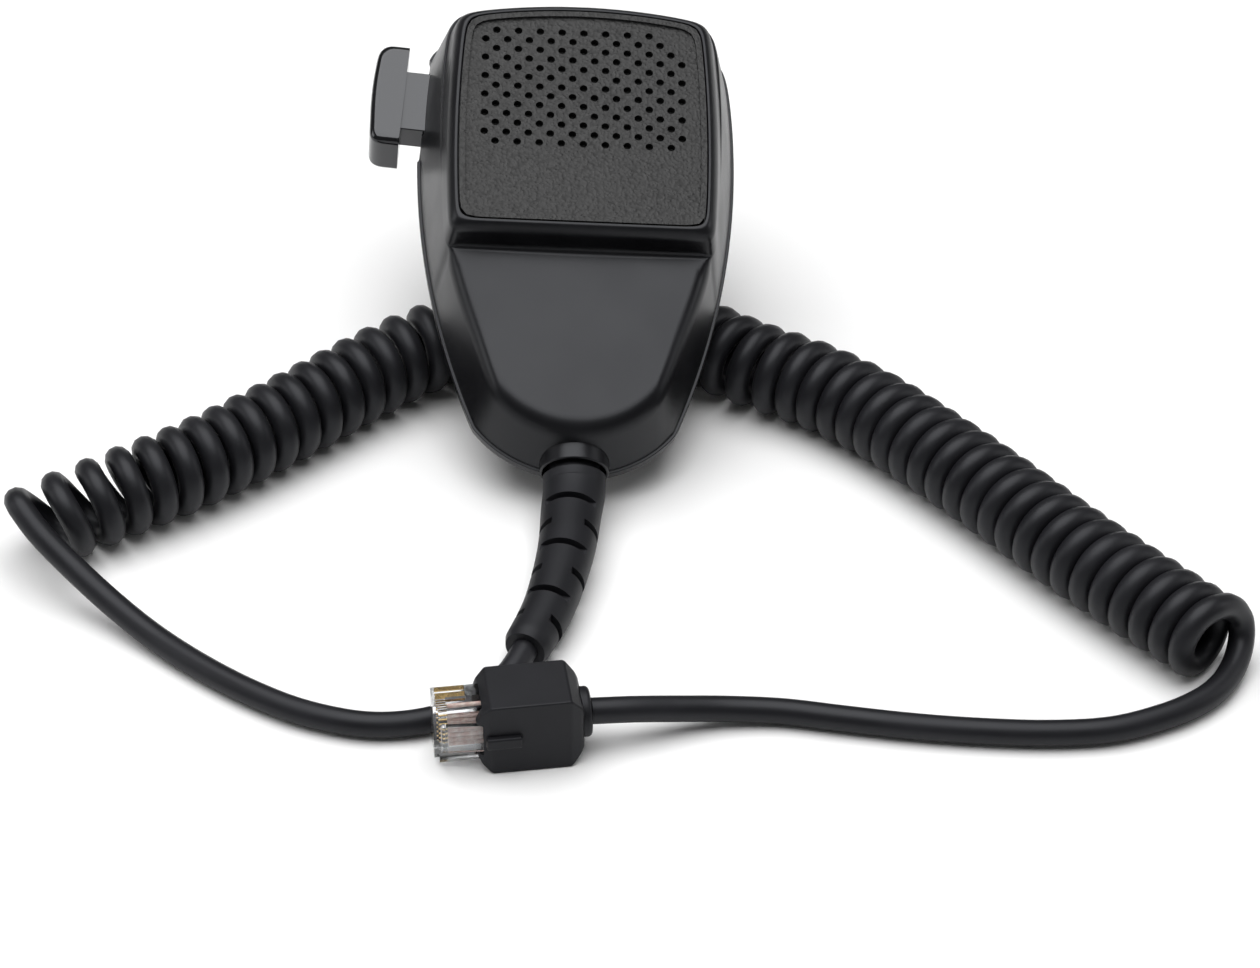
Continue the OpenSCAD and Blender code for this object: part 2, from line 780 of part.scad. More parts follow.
relief_mouth = collar_y[0] + 0.2;
relief_line = concat([mic_point([0, relief_mouth, exit_z]), mic_point([0, relief_mouth - 3, exit_z])],
  relief_points);
relief_last = len(relief_line) - 1;
relief_radii = [for (i = [0:relief_last])
  (relief_d + (relief_tip_d - relief_d) * i / relief_last) / 2 - 2 * fit];

// A piece placed on the strain relief at a share of one stretch of its line, up axis kept upwards.
module on_relief(i, share) {
  spot = relief_line[i] * (1 - share) + relief_line[i + 1] * share;
  way = relief_line[i + 1] - relief_line[i];
  translate(spot) rotate([0, 0, atan2(way.y, way.x)]) rotate([0, -asin(way.z / norm(way)), 0]) children();
}

// Cuts across the relief: slit 0 is above and below, slit 1 is at both sides.
module relief_slits() {
  for (i = [1:relief_last - 1]) for (slit = [0, 1]) {
    r = relief_radii[i];
    keep = r * slit_keep;
    on_relief(i, 0.35 + 0.6 * slit) rotate([90 * slit, 0, 0]) for (side = [0, 1]) mirror([0, 0, side])
      block([-slit_w / 2, -2 * r, keep], [slit_w / 2, 2 * r, 2 * r]);
  }
}

module strain_relief() {
  color([0.11, 0.11, 0.12]) {
    difference() {
      sweep_tube(relief_line, 0, relief_last, relief_radii, 16);
      relief_slits();
    }
    mic_pose() translate([0, 0, exit_z]) rotate([-90, 0, 0]) {
      translate([0, 0, relief_mouth - 0.2])
        cylinder(h = neck_y[0] - relief_mouth + 0.2, r = relief_d / 2);
      translate([0, 0, neck_y[0] - eps]) cylinder(h = neck_y[1] - neck_y[0] + 2 * fit, r = neck_r);
      translate([0, 0, neck_y[1] + fit]) cylinder(h = flange_y - neck_y[1] - fit, r = flange_r);
    }
  }
}

module lead_to_mic() {
  color([0.1, 0.1, 0.11]) cord_tube(mic_lead);
}

module coil_left() {
  color([0.13, 0.13, 0.14]) coil_tube(0, left_end);
}

module coil_middle() {
  color([0.13, 0.13, 0.14]) coil_tube(left_end, right_start);
}

module coil_right() {
  color([0.13, 0.13, 0.14]) coil_tube(right_start, len(coil_line) - 1);
}

module lead_to_plug() {
  color([0.1, 0.1, 0.11]) cord_tube(plug_lead);
}

// ---------------------------------------------------------------- modular plug

// The boot's outline seen from the side and from above, both with cut-back ends.
function boot_side() = let (a = boot_l / 2, b = boot_w / 2)
  [[-a + 2.6, -b], [-a + 0.8, -b * 0.6], [-a, -b * 0.2], [-a, b * 0.2], [-a + 0.8, b * 0.6],
    [-a + 2.6, b],
   [a - 2.2, b], [a - 0.5, b * 0.55], [a, b * 0.4], [a, -b * 0.4], [a - 0.5, -b * 0.55], [a - 2.2, -b]];

function boot_plan() = let (a = boot_l / 2, b = boot_t / 2)
  [[-a, -b + 1.2], [-a + 2, -b], [a - 4, -b], [a, -b + 1.4], [a, b - 1.4], [a - 4, b], [-a + 2, b],
    [-a, b - 1.2]];

module plug_boot() {
  color([0.1, 0.1, 0.11]) plug_frame() difference() {
    union() {
      intersection() {
        rotate([90, 0, 0]) linear_extrude(boot_t, center = true) polygon(boot_side());
        linear_extrude(boot_w, center = true) polygon(boot_plan());
      }
      block([-boot_l / 2 + 1.6, -boot_t / 2 - bar_size.y, -bar_size.z / 2],
        [-boot_l / 2 + 1.6 + bar_size.x, -boot_t / 2 + 0.2, bar_size.z / 2]);
    }
    block([-boot_l, -plug_t / 2 - fit, -plug_w / 2 - fit],
      [plug_end_x + fit, plug_t / 2 + fit, plug_w / 2 + fit]);
    block([-boot_l, -boot_t / 2 + 0.5, -latch_w / 2 - clear],
      [nose_x + latch_root + latch_l + clear, 0, latch_w / 2 + clear]);
    translate([boot_l / 2 - boot_collar_in, 0, 0]) rotate([0, 90, 0])
      cylinder(h = boot_l, r = boot_collar_r + clear);
  }
}

module boot_collar() {
  color([0.12, 0.12, 0.12]) plug_frame() translate([boot_l / 2 - boot_collar_in, 0, 0]) rotate([0, 90, 0])
    cylinder(h = boot_collar_in + boot_collar_out, r = boot_collar_r);
}

function contact_z(k) = (k - (contact_n - 1) / 2) * contact_pitch;

module plug_body() {
  color([0.85, 0.9, 0.92, 0.5]) plug_frame() difference() {
    block([nose_x, -plug_t / 2, -plug_w / 2], [plug_end_x, plug_t / 2, plug_w / 2]);
    block([nose_x + 2.4, -channel.x, -channel_w / 2], [plug_end_x + 1, channel.y, channel_w / 2]);
    for (k = [0:contact_n - 1]) block([nose_x + 0.7, channel.y - eps, contact_z(k) - contact_t / 2 - fit],
      [nose_x + 0.9 + contact_l, plug_t, contact_z(k) + contact_t / 2 + fit]);
    block([nose_x - 1, -plug_t, -plug_w / 2 - 1], [nose_x + 0.8, -plug_t / 2 + 1.4, plug_w / 2 + 1]);
  }
}

// Swings about its root at the nose; the free end is tucked into the boot.
module plug_latch() {
  color([0.8, 0.88, 0.92, 0.6]) plug_frame()
    translate([nose_x + latch_root, -plug_t / 2 - latch_hub_r - fit, 0]) {
    translate([0, 0, -latch_w / 2]) cylinder(h = latch_w, r = latch_hub_r);
    rotate([0, 0, -latch_lean])
      block([0, -latch_t / 2, -latch_w / 2], [latch_l, latch_t / 2, latch_w / 2]);
  }
}

module plug_contacts() {
  color("gold") plug_frame() for (k = [0:contact_n - 1])
    block([nose_x + 0.8, channel.y + 0.1, contact_z(k) - contact_t / 2],
      [nose_x + 0.8 + contact_l, plug_t / 2 - 0.3, contact_z(k) + contact_t / 2]);
}

module plug_wires() {
  color("coral") plug_frame() for (k = [0:contact_n - 1])
    translate([nose_x + 2.6, core_y, contact_z(k)]) rotate([0, 90, 0])
      cylinder(h = plug_end_x - nose_x - 2.8, r = core_r, $fn = 24);
}

module plug_wire_guide() {
  color([0.9, 0.93, 0.95, 0.6]) plug_frame() difference() {
    block([nose_x + guide_bar_x, -channel.x + fit, -channel_w / 2 + fit],
      [nose_x + guide_bar_x + guide_bar_l, channel.y - fit, channel_w / 2 - fit]);
    for (k = [0:contact_n - 1]) translate([nose_x, core_y, contact_z(k)]) rotate([0, 90, 0])
      cylinder(h = boot_l, r = core_r + 0.04, $fn = 24);
  }
}

front_housing();
rear_housing();
grille_panel();
dust_screen();
capsule_holder();
mic_capsule();
capsule_leads();
circuit_board();
board_components();
cord_connector();
cord_wires();
cord_jacket();
cord_clamp();
clamp_screws();
board_screws();
housing_screws();
hang_up_stud();
stud_washer();
ptt_button();
ptt_guide();
ptt_spring();
ptt_switch_body();
ptt_switch_plunger();
strain_relief();
lead_to_mic();
coil_left();
coil_middle();
coil_right();
lead_to_plug();
plug_boot();
boot_collar();
plug_body();
plug_latch();
plug_contacts();
plug_wires();
plug_wire_guide();
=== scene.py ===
# %% [markdown]
# # A hand microphone on its curly cord
# This notebook dresses a imported CAD model of a hand microphone. The CAD model gives every size, place and
# joint. Here each visible piece gets the rounded edges, grain and gloss of the real thing.
# The frame is loaded first. The finished model has to stay inside it.

# %% Load the frame
import json
import math

import bmesh
import bpy
from mathutils import Matrix, Vector


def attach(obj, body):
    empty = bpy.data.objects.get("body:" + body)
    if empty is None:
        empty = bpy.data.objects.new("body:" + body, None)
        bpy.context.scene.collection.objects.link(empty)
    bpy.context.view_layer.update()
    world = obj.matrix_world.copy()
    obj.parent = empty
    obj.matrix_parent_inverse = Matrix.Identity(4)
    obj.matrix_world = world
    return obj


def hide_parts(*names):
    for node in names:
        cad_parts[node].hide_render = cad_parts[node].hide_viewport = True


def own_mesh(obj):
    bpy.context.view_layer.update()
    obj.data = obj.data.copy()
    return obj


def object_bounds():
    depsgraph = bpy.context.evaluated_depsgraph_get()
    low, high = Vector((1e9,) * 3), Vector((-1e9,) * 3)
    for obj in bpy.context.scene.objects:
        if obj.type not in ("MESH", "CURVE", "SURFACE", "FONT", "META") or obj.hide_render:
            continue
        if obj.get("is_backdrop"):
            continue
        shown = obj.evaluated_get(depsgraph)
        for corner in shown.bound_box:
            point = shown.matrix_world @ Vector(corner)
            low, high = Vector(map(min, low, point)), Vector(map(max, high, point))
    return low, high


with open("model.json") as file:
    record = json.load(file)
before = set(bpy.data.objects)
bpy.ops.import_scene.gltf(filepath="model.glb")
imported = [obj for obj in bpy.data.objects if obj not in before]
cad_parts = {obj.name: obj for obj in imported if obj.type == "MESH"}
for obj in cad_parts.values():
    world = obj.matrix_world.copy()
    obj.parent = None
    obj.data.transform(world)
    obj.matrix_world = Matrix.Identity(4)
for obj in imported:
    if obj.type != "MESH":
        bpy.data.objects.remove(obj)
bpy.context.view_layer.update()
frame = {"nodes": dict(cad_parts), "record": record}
MM = 0.001
print("CAD nodes:", len(frame["nodes"]))

# %% [markdown]
# ## Camera
# A small object looks natural through a long lens from a little under a metre away. A long lens keeps the
# two sides of the housing nearly parallel, and the view from 38 degrees up shows the grille and the table.

# %% Camera
CAMERA_ELEVATION = math.radians(38)
CAMERA_DISTANCE = 838 * MM
CAMERA_AIM = Vector((15.5, -36, 0)) * MM

camera_data = bpy.data.cameras.new("camera")
camera_data.lens = 125.7
camera_data.sensor_width = 36
camera_data.clip_start, camera_data.clip_end = 0.01, 20
camera = bpy.data.objects.new("camera", camera_data)
bpy.context.scene.collection.objects.link(camera)
look = Vector((0, math.cos(CAMERA_ELEVATION), -math.sin(CAMERA_ELEVATION)))
camera.location = CAMERA_AIM - look * CAMERA_DISTANCE
camera.rotation_euler = (math.radians(90) - CAMERA_ELEVATION, 0, 0)
bpy.context.scene.camera = camera
print("camera height in mm:", round(camera.location.z / MM))

# %% [markdown]
# ## The three working frames
# The housing lies tilted on the table, the push-to-talk button leans with the housing's side, and the plug
# is turned a little. Each piece is easiest to model square to its own frame. Its place is applied to the
# mesh afterwards, so that every finished object sits at the origin.

# %% Frames of the housing, the button and the plug
MIC_FRAME = (
    Matrix.Translation(Vector((4.4, -40.6, 1.9)) * MM)
    @ Matrix.Rotation(math.radians(24), 4, "X")
    @ Matrix.Rotation(math.radians(4.5), 4, "Y")
)
SEAM_Z = 7
CORD_EXIT_Z = 8
BUTTON_X, BUTTON_Y = -30.73, 79.5
BUTTON_FRAME = (
    MIC_FRAME
    @ Matrix.Translation(Vector((BUTTON_X, BUTTON_Y, SEAM_Z)) * MM)
    @ Matrix.Rotation(math.radians(-4.5), 4, "Z")
)
PLUG_FRAME = Matrix.Translation(Vector((-2.5, -112, 7.5)) * MM) @ Matrix.Rotation(math.radians(8), 4, "Z")


def in_frame(frame_matrix, x, y, z):
    """A point in millimetres of one frame, in metres of the row frame."""
    return frame_matrix @ (Vector((x, y, z)) * MM)


print("cord exit:", [round(c, 4) for c in in_frame(MIC_FRAME, 0, -1.6, CORD_EXIT_Z)])

# %% [markdown]
# ## The cord
# The cord is one length: it leaves the strain relief, runs along the table, winds into the curled part and
# runs back to the plug. A curly cord is wound on a rod and baked, so it is a true helix whose turns nearly
# touch, with a looser turn where it has been pulled. The helix is worked out in a loop round a smooth line,
# because its pitch changes along the way. Its turns climb at the front and come down behind.

# %% Route of the cord
CORD_D = 4.8
COIL_D = 17.2
COIL_R = (COIL_D - CORD_D) / 2
COIL_Z = COIL_D / 2
RELIEF_LINE = [(4.5, -53.6, 6.5), (3.9, -62, 6.1), (2.5, -71, 5.6), (0.3, -80.5, 5.1), (-3.4, -90.5, 4.7)]
MIC_LEAD = [
    (-7, -97.5, 3.8), (-13, -103.5, 2.8), (-21, -107.5, 2.6), (-31, -108.5, 2.6), (-42, -105.5, 2.6),
    (-52, -100, 2.6), (-62, -92.5, 2.6), (-71, -84.8, 3.2), (-79, -77.8, 5.2), (-86.5, -71.4, 8.4),
    (-92.7, -66.2, 12),
]
COIL_LINE = [
    (-93.8, -59.8), (-90.5, -57.3), (-80, -50), (-67.5, -41.5), (-56, -32), (-45, -22), (-36, -13.5),
    (-27, -6), (-16, 0.5), (-4, 4), (8, 4.5), (20, 2), (30.3, -3), (39, -9), (51, -16), (62, -25),
    (73, -37), (84, -50), (95, -64), (106, -77), (119.5, -91.8),
]
PLUG_LEAD = [
    (123, -88.2, 12.9), (125.4, -86.8, 9), (125.7, -88.6, 5.2), (124.1, -93, 3), (121, -98.2, 2.5),
    (116.8, -102.4, 2.5), (110.5, -106.3, 2.6),
    (101, -109.8, 2.6), (90, -110.8, 2.6), (78, -110.3, 2.6), (66, -109, 2.6), (54, -107, 2.6),
    (43, -105, 2.6), (33, -105, 3.2), (24, -106.8, 4.8), (16, -109, 6.6), (8.5, -110.5, 7.5),
]
# Share of the way along the curled part, and the distance from turn to turn there.
PITCHES = [
    (0, 7.2), (0.03, 6.9), (0.06, 5.9), (0.1, 5.3), (0.25, 5.4), (0.33, 6), (0.45, 5), (0.58, 5.6),
    (0.68, 5), (1, 4.85),
]
# How far, in mm, the top of a turn leans back along the line, and its bottom forward.
LEANS = [(0, 3.4), (0.03, 2.4), (0.07, 1.1), (0.12, 0.4), (1, 0.4)]
FIRST_PHASE = 95
LAST_PHASE = 100
TURN_POINTS = 36


def smooth_line(points, steps):
    """Points along a smooth curve through the given ones."""
    line = [Vector(p) for p in points]
    ends = [2 * line[0] - line[1], *line, 2 * line[-1] - line[-2]]
    found = []
    for i in range(1, len(ends) - 2):
        a, b, c, d = ends[i - 1 : i + 3]
        for k in range(steps):
            t = k / steps
            square, cube = 2 * a - 5 * b + 4 * c - d, 3 * b - a - 3 * c + d
            found.append(0.5 * (2 * b + (c - a) * t + square * t**2 + cube * t**3))
    return [*found, line[-1]]


def distances_along(line):
    """How far along a line each of its points lies."""
    found = [0.0]
    for a, b in zip(line, line[1:]):
        found.append(found[-1] + (b - a).length)
    return found


def blend_of(table, share):
    """The value of a small table of (share, value) at a share."""
    for (a, low), (b, high) in zip(table, table[1:]):
        if share <= b:
            return low + (high - low) * (share - a) / (b - a)
    return table[-1][1]


def coil_points():
    """The helix round the coil's line, front side towards the viewer."""
    line = smooth_line([(x, y, COIL_Z) for x, y in COIL_LINE], 40)
    lengths = distances_along(line)
    total = lengths[-1]
    turns = sum((b - a) / blend_of(PITCHES, a / total) for a, b in zip(lengths, lengths[1:]))
    part_turn = (LAST_PHASE - FIRST_PHASE) / 360
    wanted = round(turns - part_turn) + part_turn
    stretch = wanted / turns
    points, phase, due = [], math.radians(FIRST_PHASE), 0.0
    for i in range(len(line) - 1):
        along = (line[i + 1] - line[i]).normalized()
        front = Vector((along.y, -along.x, 0))
        run = lengths[i + 1] - lengths[i]
        swing = 2 * math.pi * stretch * run / blend_of(PITCHES, lengths[i] / total)
        while due <= swing:
            here = phase + due
            centre = line[i].lerp(line[i + 1], due / swing)
            lean = -blend_of(LEANS, lengths[i] / total) * math.sin(here) * along
            spoke = math.cos(here) * front + math.sin(here) * Vector((0, 0, 1))
            points.append(centre + lean + COIL_R * spoke)
            due += 2 * math.pi / TURN_POINTS
        phase += swing
        due -= swing
    print("turns in the curled part:", round(wanted, 2))
    return points


relief_start = in_frame(MIC_FRAME, 0, -1.6, CORD_EXIT_Z)
relief_next = in_frame(MIC_FRAME, 0, -4.6, CORD_EXIT_Z)
into_relief = [relief_start / MM, relief_next / MM, *RELIEF_LINE, *MIC_LEAD]
helix = coil_points()
lead_in = smooth_line([*into_relief, tuple(helix[0]), tuple(helix[3])], 8)[:-9]
lead_out = smooth_line([tuple(helix[-4]), tuple(helix[-1]), *PLUG_LEAD], 8)[9:]
relief_path = [Vector(p) for p in smooth_line(into_relief[: 2 + len(RELIEF_LINE)], 8)]
cord_line = [Vector(p) * MM for p in [*lead_in, *helix, *lead_out]]
CORD_LENGTH = distances_along(cord_line)[-1]
print("cord length in metres:", round(CORD_LENGTH, 3))

# %% [markdown]
# ## A round curve along a line
# A cord or a wire is quickest as a curve with a bevel depth: Blender sweeps a circle of that radius along the
# line and caps its ends. The cord stays a curve, and the spring is made a mesh later. Both start here.


# %% Cord as a round bevelled curve
def round_curve(name, line, radius, resolution):
    """A curve along a line of points in metres, with a round section of a radius in millimetres."""
    curve = bpy.data.curves.new(name, "CURVE")
    curve.dimensions = "3D"
    curve.bevel_depth = radius * MM
    curve.bevel_resolution = resolution
    curve.use_fill_caps = True
    spline = curve.splines.new("POLY")
    spline.points.add(len(line) - 1)
    spline.points.foreach_set("co", [c for p in line for c in (*p, 1.0)])
    piece = bpy.data.objects.new(name, curve)
    bpy.context.scene.collection.objects.link(piece)
    return piece


cord = round_curve("cord", cord_line, CORD_D / 2, 4)
cord.data.splines[0].use_smooth = True
print("cord points:", len(cord_line))

# %% [markdown]
# ## Shaders
# Every finish is a small tree of nodes. One class stands for a shader socket, so that the maths of a finish
# reads as plain arithmetic, and one method makes any node from its type, settings and inputs.


# %% Shader sockets and nodes
class Value:
    """A shader value that takes part in plain arithmetic."""

    def __init__(self, shader, socket):
        self.shader, self.socket = shader, socket

    def __add__(self, other):
        return self.shader.maths("ADD", self, other)

    def __sub__(self, other):
        return self.shader.maths("SUBTRACT", self, other)

    def __rsub__(self, other):
        return self.shader.maths("SUBTRACT", other, self)

    def __mul__(self, other):
        return self.shader.maths("MULTIPLY", self, other)

    __radd__ = __add__
    __rmul__ = __mul__


class Shader:
    """One material's node tree."""

    def __init__(self, name):
        self.material = bpy.data.materials.new(name)
        self.material.use_nodes = True
        self.tree = self.material.node_tree
        self.surface = self.tree.nodes["Principled BSDF"]
        self.place = self.make("ShaderNodeTexCoord", output="Object")

    def plug(self, socket, value):
        if isinstance(value, Value):
            self.tree.links.new(value.socket, socket)
        else:
            socket.default_value = value

    def make(self, kind, settings=None, inputs=None, output=0):
        node = self.tree.nodes.new(kind)
        for name, setting in (settings or {}).items():
            setattr(node, name, setting)
        for name, value in (inputs or {}).items():
            self.plug(node.inputs[name], value)
        return Value(self, node.outputs[output])

    def maths(self, operation, a, b):
        return self.make("ShaderNodeMath", {"operation": operation}, {0: a, 1: b})

    def noise(self, size, detail=3.0, roughness=0.5):
        """Soft noise whose grain is about size across, in millimetres."""
        inputs = {"Vector": self.place, "Scale": 1 / (size * MM), "Detail": detail, "Roughness": roughness}
        return self.make("ShaderNodeTexNoise", None, inputs)

    def cells(self, size, feature="F1", output="Distance"):
        """The distance from the middle of cells about size across, in millimetres."""
        inputs = {"Vector": self.place, "Scale": 1 / (size * MM), "Randomness": 1.0}
        return self.make("ShaderNodeTexVoronoi", {"feature": feature}, inputs, output)

    def ramp(self, value, low, high):
        """0 below low, 1 above high."""
        limits = {"Value": value, "From Min": low, "From Max": high}
        return self.make("ShaderNodeMapRange", {"clamp": True}, limits)

    def colour_mix(self, share, a, b):
        node = self.tree.nodes.new("ShaderNodeMix")
        node.data_type = "RGBA"
        self.plug(node.inputs[0], share)
        self.plug(node.inputs[6], a)
        self.plug(node.inputs[7], b)
        return Value(self, node.outputs[2])

    def bump(self, height, depth, strength=1.0):
        """A bump as deep as depth, in millimetres, where height is 1."""
        inputs = {"Height": height, "Distance": depth * MM, "Strength": strength}
        self.plug(self.surface.inputs["Normal"], self.make("ShaderNodeBump", None, inputs))

    def set(self, **values):
        for name, value in values.items():
            self.plug(self.surface.inputs[name.replace("_", " ")], value)


def grey(level, tint=1.0):
    return (level, level, level * tint, 1)


print("shader tools ready")

# %% [markdown]
# ## Finishes
# The housing is moulded ABS from a spark-eroded tool: a satin black with an even, very fine tooth. The
# grille is a separate moulding with a leather grain. The button is polished. The cord, its strain relief
# and the boot are soft rubbery plastic, which takes up dust and shows wide dull highlights.


# %% Black mouldings and rubbers
def moulded(name, level, rough, tooth, depth, tint=1.2, coat=0.0, gloss=0.4):
    """A moulded plastic: a fine tooth in the surface, and patches slightly more handled than others."""
    shader = Shader(name)
    patches = shader.ramp(shader.noise(14, 2.0), 0.35, 0.68)
    dust = shader.ramp(shader.noise(0.35, 2.0, 0.6), 0.62, 0.8)
    base = shader.colour_mix(patches, grey(level, tint), grey(level * 1.35, tint))
    shader.set(Base_Color=shader.colour_mix(dust * 0.3, base, grey(level * 2.6, tint)))
    shader.set(Roughness=patches * 0.07 + dust * 0.05 + rough, Coat_Weight=coat, Coat_Roughness=0.08)
    shader.set(Specular_IOR_Level=gloss, Specular_Tint=(0.93, 0.95, 1, 1))
    shader.bump(shader.noise(tooth, 3.0, 0.6) + shader.noise(tooth * 6, 2.0) * 0.5, depth)
    return shader.material


def grained(name, level, rough):
    """Leather grain: low pebbles with creases between them, painted darker there as painted shade, and a fine
    tooth over all.
    """
    shader = Shader(name)
    pebbles = shader.cells(0.6, "SMOOTH_F1")
    creases = shader.ramp(pebbles + shader.noise(0.4, 2.0) * 0.3, 0.25, 0.95)
    patches = shader.ramp(shader.noise(9, 2.0), 0.35, 0.68)
    # Painted shade: the creases get a darker colour than the pebbles. The random patches below are the
    # moulding's own tone.
    base = shader.colour_mix(creases, grey(level * 1.3, 1.02), grey(level * 0.7, 1.02))
    shader.set(Base_Color=shader.colour_mix(patches * 0.3, base, grey(level * 1.6, 1.02)))
    shader.set(Roughness=creases * 0.2 + rough, Specular_IOR_Level=0.3)
    shader.bump(1 - creases + shader.noise(0.14, 2.0) * 0.25, 0.14)
    return shader.material


FINISHES = {
    "housing_black": moulded("satin black moulding", 0.004, 0.3, 0.09, 0.008, gloss=0.3),
    "grille_grey": grained("grained dark grey moulding", 0.013, 0.36),
    "button_black": moulded("polished black moulding", 0.003, 0.12, 0.5, 0.002, coat=0.25, gloss=0.45),
    "rubber_black": moulded("black rubber", 0.007, 0.48, 0.16, 0.012, gloss=0.25),
    "cord_rubber": moulded("black cord rubber", 0.008, 0.42, 0.3, 0.01, gloss=0.28),
    "inner_plastic": moulded("inner black moulding", 0.03, 0.5, 0.2, 0.012),
    "component_black": moulded("black component", 0.02, 0.45, 0.12, 0.01),
    "plunger_white": moulded("ivory plunger", 0.6, 0.35, 0.3, 0.006, tint=0.85),
    "connector_cream": moulded("cream connector", 0.5, 0.42, 0.25, 0.008, tint=0.75),
}
print("moulded finishes:", len(FINISHES))


# %% [markdown]
# ## Metals, board, cloth, wire and clear plastic
# Metals differ from plastics in one number, Metallic, and in the scratches that run one way. A lacquer gets
# a clear coat, cloth gets the ridges of its threads, and the plug's clear body lets light through.


# %% Metals, board, cloth, wire and clear plastic
def metal(name, colour, rough, brushing):
    """Plated metal: a tint, fine scratches that run one way, and duller patches."""
    shader = Shader(name)
    stretched = shader.make("ShaderNodeMapping", None, {"Vector": shader.place, "Scale": (9000, 9000, 600)})
    scratches = shader.make("ShaderNodeTexNoise", None, {"Vector": stretched, "Scale": 1.0, "Detail": 2.0})
    dull = shader.ramp(shader.noise(2.5, 3.0), 0.45, 0.75)
    darker = (*[c * 0.72 for c in colour], 1)
    shader.set(Base_Color=shader.colour_mix(dull, (*colour, 1), darker), Metallic=1.0)
    shader.set(Roughness=scratches * brushing + dull * 0.12 + rough)
    shader.bump(scratches, 0.004)
    return shader.material


def lacquered(name, low, high, rough, grain):
    """A coloured, glossy surface with a slight mottle."""
    shader = Shader(name)
    mottle = shader.ramp(shader.noise(grain, 3.0), 0.35, 0.7)
    shader.set(Base_Color=shader.colour_mix(mottle, (*low, 1), (*high, 1)), Coat_Weight=0.3)
    shader.set(Roughness=mottle * 0.1 + rough)
    shader.bump(shader.noise(grain * 0.2, 2.0), 0.01)
    return shader.material


def woven(name):
    """Acoustic cloth: two sets of threads, seen as ridges across each other."""
    shader = Shader(name)
    waves = [
        shader.make(
            "ShaderNodeTexWave",
            {"bands_direction": way},
            {"Vector": shader.place, "Scale": 450.0, "Distortion": 0.4, "Detail": 1.0},
            "Fac",
        )
        for way in ("X", "Y")
    ]
    weave = shader.maths("MAXIMUM", waves[0], waves[1])
    shader.set(Base_Color=shader.colour_mix(weave, grey(0.002), grey(0.012)), Roughness=weave * 0.1 + 0.85)
    shader.bump(weave, 0.08)
    return shader.material


def clear(name):
    """Clear polycarbonate: it bends light, with faint haze and fingerprints."""
    shader = Shader(name)
    haze = shader.ramp(shader.noise(3, 3.0), 0.45, 0.75)
    shader.set(Base_Color=shader.colour_mix(haze, (0.98, 0.99, 1, 1), (0.92, 0.94, 0.96, 1)))
    shader.set(Transmission_Weight=1.0, IOR=1.42, Roughness=haze * 0.08 + 0.05)
    shader.bump(shader.noise(0.8, 2.0), 0.015)
    return shader.material


FINISHES.update(
    {
        "capsule_metal": metal("capsule aluminium", (0.75, 0.75, 0.77), 0.25, 0.2),
        "screw_steel": metal("zinc plated steel", (0.6, 0.6, 0.63), 0.28, 0.2),
        "stud_steel": metal("polished steel", (0.75, 0.76, 0.78), 0.1, 0.08),
        "lead_gold": metal("gold plate", (0.9, 0.62, 0.25), 0.18, 0.1),
        "board_green": lacquered("board lacquer", (0.01, 0.11, 0.04), (0.02, 0.17, 0.07), 0.25, 3),
        "wire_red": lacquered("wire insulation", (0.6, 0.36, 0.3), (0.8, 0.66, 0.58), 0.35, 1),
        "screen_cloth": woven("acoustic cloth"),
        "clear_plastic": clear("clear polycarbonate"),
    }
)
SLOTS = {part["node"]: part["material_slot"] for part in frame["record"]["subparts"]}
for node_name, slot_name in SLOTS.items():
    mesh = frame["nodes"][node_name].data
    mesh.materials.clear()
    mesh.materials.append(FINISHES[slot_name])
print("CAD nodes with a finish:", len(SLOTS))

# %% [markdown]
# ## How pieces are put on the model
# Each new piece gets its finish, rides on a body of the CAD model and stands for some of its nodes. An
# operator acts on everything selected, so every step that uses one starts with nothing selected.


# %% Shared modelling steps
def only(piece):
    """Selects one piece, and nothing else, for the next operator."""
    bpy.ops.object.select_all(action="DESELECT")
    piece.select_set(True)
    bpy.context.view_layer.objects.active = piece


def finish_piece(piece, name, slot, body, *nodes):
    """Names a piece, gives it its finish and puts it on a body."""
    piece.name = name
    piece.data.materials.clear()
    piece.data.materials.append(FINISHES[slot])
    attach(piece, body)
    if nodes:
        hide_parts(*nodes)
    count = len(piece.data.polygons) if piece.type == "MESH" else len(piece.data.splines[0].points)
    print(name, count)
    return piece


def apply_modifier(piece, kind, **settings):
    """Adds a modifier and applies it at once."""
    only(piece)
    modifier = piece.modifiers.new(kind.lower(), kind)
    for name, value in settings.items():
        setattr(modifier, name, value)
    bpy.ops.object.modifier_apply(modifier=modifier.name)


def smooth(piece, angle=35):
    """Smooth shading that keeps the sharp edges, with the large faces left flat."""
    only(piece)
    bpy.ops.object.shade_smooth_by_angle(angle=math.radians(angle))
    apply_modifier(piece, "WEIGHTED_NORMAL", keep_sharp=True, weight=80)


def settle(piece, frame_matrix):
    """Moves a piece's mesh to its place, and leaves the object at the origin."""
    piece.data.transform(frame_matrix @ piece.matrix_world)
    piece.matrix_world = Matrix.Identity(4)
    piece.data.update()


print("tools for one piece ready")

# %% [markdown]
# ## Blocks, rods and booleans
# A block or a rod is where most mouldings start, and where every cutter does. Its place is applied to the
# mesh at once, so that a bevel has the same width all round. A cutter is removed as soon as it has cut.


# %% Blocks, rods and booleans
def block(low, high, round_off=0.0):
    """A block between two corners, in millimetres, with its edges rounded."""
    bpy.ops.object.select_all(action="DESELECT")
    low, high = Vector(low) * MM, Vector(high) * MM
    bpy.ops.mesh.primitive_cube_add(size=1, location=(low + high) / 2, scale=high - low)
    bpy.ops.object.transform_apply()
    piece = bpy.context.object
    if round_off:
        apply_modifier(piece, "BEVEL", width=round_off * MM, segments=3, limit_method="ANGLE")
    return piece


